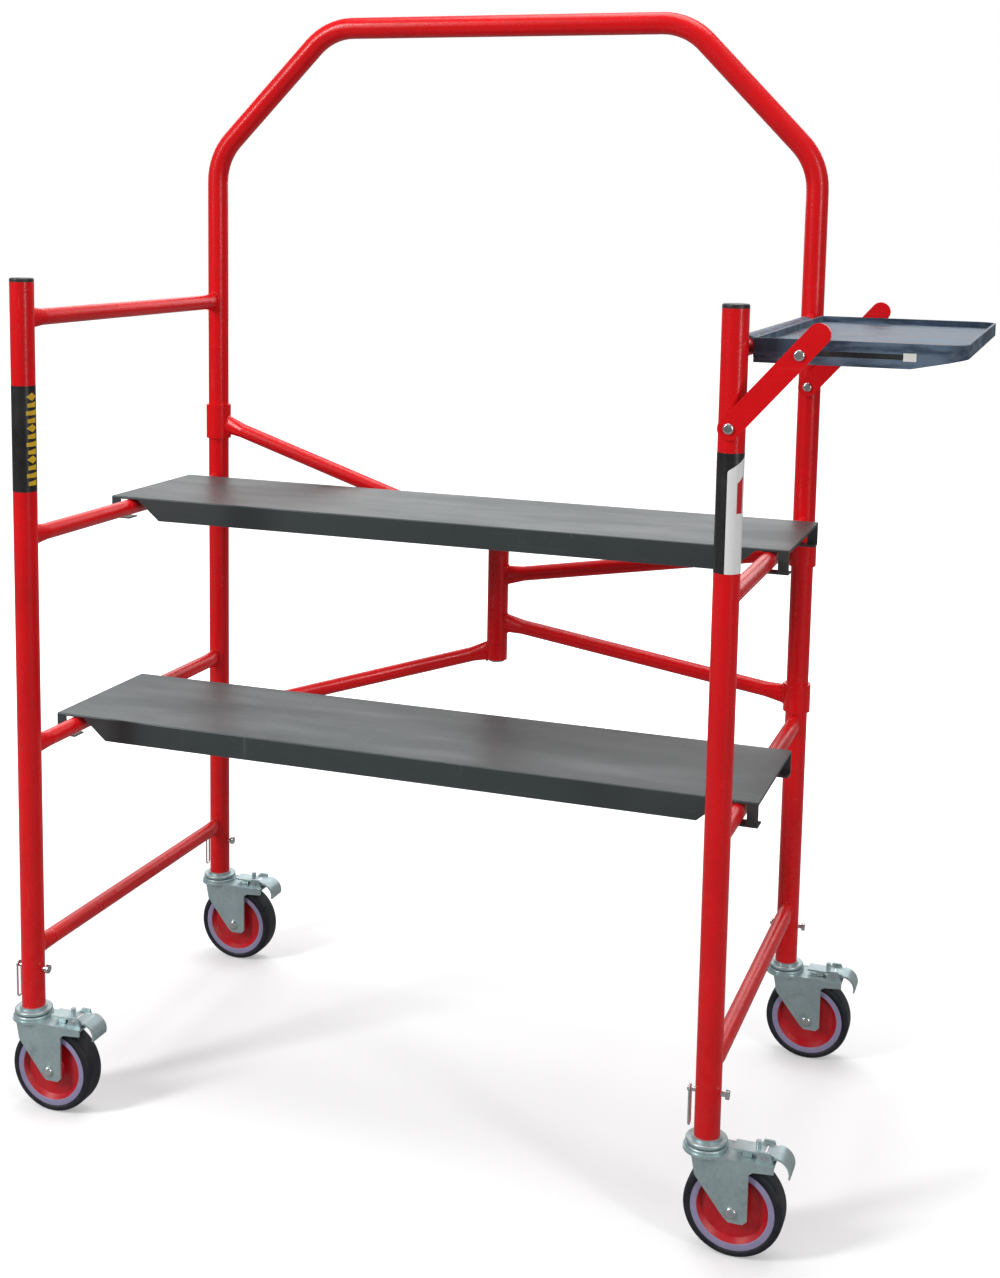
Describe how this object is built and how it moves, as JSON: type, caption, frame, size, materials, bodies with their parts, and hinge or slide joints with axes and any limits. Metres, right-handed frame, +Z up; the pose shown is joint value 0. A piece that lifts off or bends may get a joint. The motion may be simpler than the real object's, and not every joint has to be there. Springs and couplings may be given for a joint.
{
  "type": "baker scaffold",
  "caption": "Small rolling steel scaffold with two end frames, a folding rear gate, a guard rail, hook-on decks, a side tool tray and braked swivel casters.",
  "frame": {"origin": "on the floor, midway between the four posts", "axes": "+X along the scaffold to the tray's end, +Y from the open front to the guard rail, +Z up"},
  "size_m": [1.206, 0.574, 1.4955],
  "materials": {
    "red_paint": "glossy powder coat on steel tube",
    "deck_paint": "satin grey paint on folded steel sheet",
    "tray_plastic": "moulded blue-grey plastic",
    "white_nylon": "moulded nylon",
    "black_plastic": "moulded plastic",
    "zinc_plate": "zinc plated pressed steel",
    "bright_steel": "bright plated steel",
    "red_plastic": "moulded polypropylene",
    "tyre_rubber": "black rubber"
  },
  "bodies": {
    "frame": {"front_left_post": "red_paint", "front_right_post": "red_paint", "back_left_post": "red_paint", "back_right_post": "red_paint", "left_bottom_rung": "red_paint", "left_lower_rung": "red_paint", "left_upper_rung": "red_paint", "left_top_rung": "red_paint", "right_bottom_rung": "red_paint", "right_lower_rung": "red_paint", "right_upper_rung": "red_paint", "right_top_rung": "red_paint", "left_gate_sleeves": "red_paint", "left_gate_lower_tube": "red_paint", "left_gate_upper_tube": "red_paint", "left_gate_knuckles": "red_paint", "right_gate_sleeves": "red_paint", "right_gate_lower_tube": "red_paint", "right_gate_upper_tube": "red_paint", "right_gate_knuckle": "red_paint", "caster_stem_front_left": "zinc_plate", "caster_stem_front_right": "zinc_plate", "caster_stem_back_left": "zinc_plate", "caster_stem_back_right": "zinc_plate", "gate_hinge_pin": "zinc_plate", "front_post_caps": "black_plastic", "arm_post_bolts": "bright_steel", "caster_pins": "bright_steel", "caster_pin_clips": "bright_steel"},
    "rail": {"guard_rail": "red_paint"},
    "upper_deck": {"upper_deck": "deck_paint", "upper_deck_hooks": "deck_paint"},
    "lower_deck": {"lower_deck": "deck_paint", "lower_deck_hooks": "deck_paint"},
    "tray": {"tool_tray": "tray_plastic", "tray_slot_stops": "white_nylon"},
    "tray_arms": {"tray_front_arm": "red_paint", "tray_back_arm": "red_paint", "tray_bolts": "bright_steel"},
    "caster_front_left": {"caster_fork_front_left": "zinc_plate", "caster_axle_front_left": "bright_steel"},
    "wheel_front_left": {"wheel_rim_front_left": "red_plastic", "wheel_tyre_front_left": "tyre_rubber"},
    "brake_front_left": {"brake_lever_front_left": "zinc_plate"},
    "caster_front_right": {"caster_fork_front_right": "zinc_plate", "caster_axle_front_right": "bright_steel"},
    "wheel_front_right": {"wheel_rim_front_right": "red_plastic", "wheel_tyre_front_right": "tyre_rubber"},
    "brake_front_right": {"brake_lever_front_right": "zinc_plate"},
    "caster_back_left": {"caster_fork_back_left": "zinc_plate", "caster_axle_back_left": "bright_steel"},
    "wheel_back_left": {"wheel_rim_back_left": "red_plastic", "wheel_tyre_back_left": "tyre_rubber"},
    "brake_back_left": {"brake_lever_back_left": "zinc_plate"},
    "caster_back_right": {"caster_fork_back_right": "zinc_plate", "caster_axle_back_right": "bright_steel"},
    "wheel_back_right": {"wheel_rim_back_right": "red_plastic", "wheel_tyre_back_right": "tyre_rubber"},
    "brake_back_right": {"brake_lever_back_right": "zinc_plate"}
  },
  "joints": [
    {"name": "rail_lift", "type": "slide", "parent": "frame", "child": "rail", "axis": [0, 0, 1], "range_m": [0, 0.06]},
    {"name": "upper_deck_slide", "type": "slide", "parent": "frame", "child": "upper_deck", "axis": [0, 1, 0], "range_m": [-0.195, 0]},
    {"name": "lower_deck_slide", "type": "slide", "parent": "frame", "child": "lower_deck", "axis": [0, 1, 0], "range_m": [-0.05, 0.14]},
    {"name": "tray_fold", "type": "hinge", "parent": "frame", "child": "tray", "pos_m": [0.464, 0, 1.066], "axis": [0, 1, 0], "range_deg": [0, 48]},
    {"name": "tray_arms_swing", "type": "hinge", "parent": "frame", "child": "tray_arms", "pos_m": [0.464, 0, 0.98], "axis": [0, 1, 0], "range_deg": [0, 67]},
    {"name": "caster_swivel_front_left", "type": "hinge", "parent": "frame", "child": "caster_front_left", "pos_m": [-0.464, -0.259, 0.13], "axis": [0, 0, 1], "continuous": true},
    {"name": "wheel_spin_front_left", "type": "hinge", "parent": "caster_front_left", "child": "wheel_front_left", "pos_m": [-0.428, -0.259, 0.06], "axis": [0, 1, 0], "continuous": true},
    {"name": "brake_press_front_left", "type": "hinge", "parent": "caster_front_left", "child": "brake_front_left", "pos_m": [-0.392, -0.259, 0.1325], "axis": [0, 1, 0], "range_deg": [0, 14]},
    {"name": "caster_swivel_front_right", "type": "hinge", "parent": "frame", "child": "caster_front_right", "pos_m": [0.464, -0.259, 0.13], "axis": [0, 0, 1], "continuous": true},
    {"name": "wheel_spin_front_right", "type": "hinge", "parent": "caster_front_right", "child": "wheel_front_right", "pos_m": [0.5, -0.259, 0.06], "axis": [0, 1, 0], "continuous": true},
    {"name": "brake_press_front_right", "type": "hinge", "parent": "caster_front_right", "child": "brake_front_right", "pos_m": [0.536, -0.259, 0.1325], "axis": [0, 1, 0], "range_deg": [0, 14]},
    {"name": "caster_swivel_back_left", "type": "hinge", "parent": "frame", "child": "caster_back_left", "pos_m": [-0.464, 0.259, 0.13], "axis": [0, 0, 1], "continuous": true},
    {"name": "wheel_spin_back_left", "type": "hinge", "parent": "caster_back_left", "child": "wheel_back_left", "pos_m": [-0.428, 0.259, 0.06], "axis": [0, 1, 0], "continuous": true},
    {"name": "brake_press_back_left", "type": "hinge", "parent": "caster_back_left", "child": "brake_back_left", "pos_m": [-0.392, 0.259, 0.1325], "axis": [0, 1, 0], "range_deg": [0, 14]},
    {"name": "caster_swivel_back_right", "type": "hinge", "parent": "frame", "child": "caster_back_right", "pos_m": [0.464, 0.259, 0.13], "axis": [0, 0, 1], "continuous": true},
    {"name": "wheel_spin_back_right", "type": "hinge", "parent": "caster_back_right", "child": "wheel_back_right", "pos_m": [0.5, 0.259, 0.06], "axis": [0, 1, 0], "continuous": true},
    {"name": "brake_press_back_right", "type": "hinge", "parent": "caster_back_right", "child": "brake_back_right", "pos_m": [0.536, 0.259, 0.1325], "axis": [0, 1, 0], "range_deg": [0, 14]}
  ],
  "couplings": [
    {"joint": "tray_arms_swing", "follows": "tray_fold", "ratio": 1.387}
  ]
}
